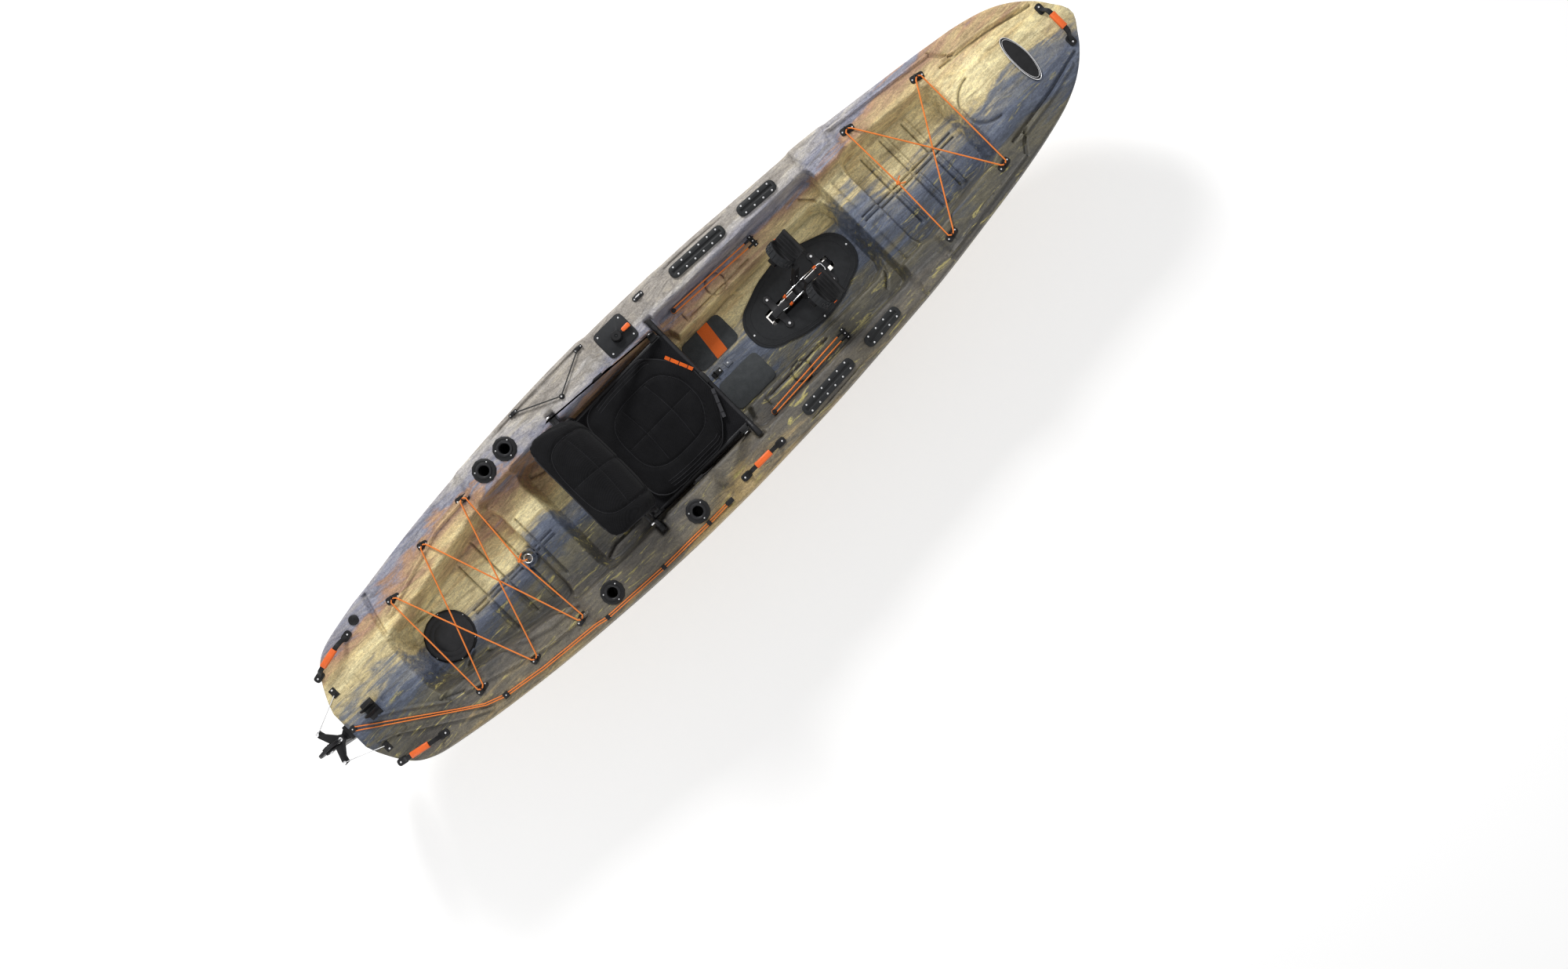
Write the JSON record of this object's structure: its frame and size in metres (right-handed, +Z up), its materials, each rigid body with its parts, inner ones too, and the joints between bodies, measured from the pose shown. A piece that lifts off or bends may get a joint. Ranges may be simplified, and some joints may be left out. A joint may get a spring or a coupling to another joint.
{
  "type": "pedal fishing kayak",
  "caption": "Sit-on-top fishing kayak with cargo wells, a lift-out framed seat with folding back, a pedal drive with swinging fins, a kick-up rudder and deck fittings.",
  "frame": {"origin": "middle of the length and width, at the lowest flat of the keel, where the kayak rests", "axes": "+X to the bow, +Y to port, +Z up"},
  "size_m": [3.9617, 0.864, 1.018],
  "materials": {
    "hull_plastic": "rotomoulded tan polyethylene, satin",
    "deck_plastic": "rotomoulded camouflage polyethylene in slate, purple, olive and tan bands",
    "black_plastic": "black nylon, satin",
    "grey_plastic": "dark grey moulded plastic",
    "track_metal": "black anodised rail",
    "seat_tube": "black powder coat",
    "seat_fabric": "charcoal padded fabric with grey piping",
    "strap_web": "grey webbing",
    "orange_cord": "orange sleeved stretch cord",
    "black_cord": "black sleeved cord",
    "pad_foam": "dark foam with an orange band",
    "arm_metal": "black coated arm",
    "rod_metal": "brushed",
    "fin_rubber": "charcoal flexible fin"
  },
  "bodies": {
    "hull": {"hull_shell": "hull_plastic", "deck_shell": "deck_plastic", "drive_trunk": "grey_plastic", "drive_well_plate": "grey_plastic", "gear_track_port_aft": "track_metal", "gear_track_port_forward": "track_metal", "gear_track_starboard_aft": "track_metal", "gear_track_starboard_forward": "track_metal", "rod_holder_port_aft": "black_plastic", "rod_holder_port_forward": "black_plastic", "rod_holder_starboard_aft": "black_plastic", "rod_holder_starboard_forward": "black_plastic", "hatch_ring": "black_plastic", "cord_eye_stern_port_aft": "black_plastic", "cord_eye_stern_starboard_aft": "black_plastic", "cord_eye_stern_port_middle": "black_plastic", "cord_eye_stern_starboard_middle": "black_plastic", "cord_eye_stern_port_forward": "black_plastic", "cord_eye_stern_starboard_forward": "black_plastic", "cord_eye_bow_port_aft": "black_plastic", "cord_eye_bow_starboard_aft": "black_plastic", "cord_eye_bow_port_forward": "black_plastic", "cord_eye_bow_starboard_forward": "black_plastic", "stern_bungee": "orange_cord", "bow_bungee": "orange_cord", "side_bungee_port": "orange_cord", "side_bungee_starboard": "orange_cord", "paddle_cord": "black_cord", "handle_stern_port": "black_plastic", "handle_stern_starboard": "black_plastic", "handle_midship_starboard": "black_plastic", "handle_bow": "black_plastic", "floor_pad_port": "pad_foam", "floor_pad_starboard": "pad_foam", "stow_cleat": "black_plastic", "rudder_bracket": "black_plastic", "rudder_cable_port": "black_cord", "rudder_cable_starboard": "black_cord", "rudder_lines": "black_cord", "steering_plate": "black_plastic"},
    "hatch_lid": {"hatch_lid": "black_plastic"},
    "drain_plug": {"drain_plug": "black_plastic"},
    "rudder_head": {"rudder_head": "black_plastic"},
    "rudder_blade": {"rudder_blade": "black_plastic"},
    "steering_lever": {"steering_lever": "black_plastic"},
    "seat": {"seat_frame": "seat_tube", "seat_cushion": "seat_fabric", "seat_strap_port": "strap_web", "seat_strap_starboard": "strap_web"},
    "backrest": {"backrest_frame": "seat_tube", "backrest_cushion": "seat_fabric"},
    "drive": {"drive_unit": "grey_plastic", "drive_rods": "rod_metal"},
    "pedal_arm_port": {"pedal_arm_port": "arm_metal"},
    "pedal_arm_starboard": {"pedal_arm_starboard": "arm_metal"},
    "pedal_port": {"pedal_port": "black_plastic"},
    "pedal_starboard": {"pedal_starboard": "black_plastic"},
    "fin_rear": {"fin_rear": "fin_rubber"},
    "fin_front": {"fin_front": "fin_rubber"}
  },
  "joints": [
    {"name": "hatch_lid_lift", "type": "slide", "parent": "hull", "child": "hatch_lid", "axis": [0, 0, 1], "range_m": [0, 0.1]},
    {"name": "drain_plug_turn", "type": "hinge", "parent": "hull", "child": "drain_plug", "pos_m": [-1.6, 0.28, 0.36], "axis": [0, 0, 1], "range_deg": [0, 720]},
    {"name": "rudder_steer", "type": "hinge", "parent": "hull", "child": "rudder_head", "pos_m": [-1.945, 0, 0.36], "axis": [0, 0, 1], "range_deg": [-35, 35], "deforming": ["rudder_cable_port", "rudder_cable_starboard"]},
    {"name": "rudder_lift", "type": "hinge", "parent": "rudder_head", "child": "rudder_blade", "pos_m": [-1.985, 0, 0.406], "axis": [0, 1, 0], "range_deg": [0, 261]},
    {"name": "steering_lever_turn", "type": "hinge", "parent": "hull", "child": "steering_lever", "pos_m": [-0.163, 0.338, 0.35], "axis": [0, 0, 1], "range_deg": [-36, 36]},
    {"name": "seat_lift", "type": "slide", "parent": "hull", "child": "seat", "axis": [0, 0, 1], "range_m": [0, 0.25]},
    {"name": "backrest_fold", "type": "hinge", "parent": "seat", "child": "backrest", "pos_m": [-0.515, 0, 0.362], "axis": [0, 1, 0], "range_deg": [0, 78], "deforming": ["seat_strap_port", "seat_strap_starboard"]},
    {"name": "drive_lift", "type": "slide", "parent": "hull", "child": "drive", "axis": [0, 0, 1], "range_m": [0, 0.55]},
    {"name": "pedal_swing_port", "type": "hinge", "parent": "drive", "child": "pedal_arm_port", "pos_m": [0.474, 0, 0.152], "axis": [0, 1, 0], "range_deg": [-34, 34]},
    {"name": "pedal_swing_starboard", "type": "hinge", "parent": "drive", "child": "pedal_arm_starboard", "pos_m": [0.474, 0, 0.152], "axis": [0, 1, 0], "range_deg": [-34, 34]},
    {"name": "pedal_tilt_port", "type": "hinge", "parent": "pedal_arm_port", "child": "pedal_port", "pos_m": [0.474, 0.1, 0.459], "axis": [0, 1, 0], "range_deg": [-40, 40]},
    {"name": "pedal_tilt_starboard", "type": "hinge", "parent": "pedal_arm_starboard", "child": "pedal_starboard", "pos_m": [0.474, -0.1, 0.459], "axis": [0, 1, 0], "range_deg": [-40, 40]},
    {"name": "fin_swing_rear", "type": "hinge", "parent": "drive", "child": "fin_rear", "pos_m": [0.4, 0, -0.003], "axis": [1, 0, 0], "range_deg": [-72, 72]},
    {"name": "fin_swing_front", "type": "hinge", "parent": "drive", "child": "fin_front", "pos_m": [0.54, 0, -0.003], "axis": [1, 0, 0], "range_deg": [-72, 72]}
  ],
  "couplings": [
    {"joint": "steering_lever_turn", "follows": "rudder_steer", "ratio": 1},
    {"joint": "pedal_swing_starboard", "follows": "pedal_swing_port", "ratio": -1},
    {"joint": "fin_swing_rear", "follows": "pedal_swing_port", "ratio": 2.1},
    {"joint": "fin_swing_front", "follows": "pedal_swing_port", "ratio": -2.1}
  ]
}
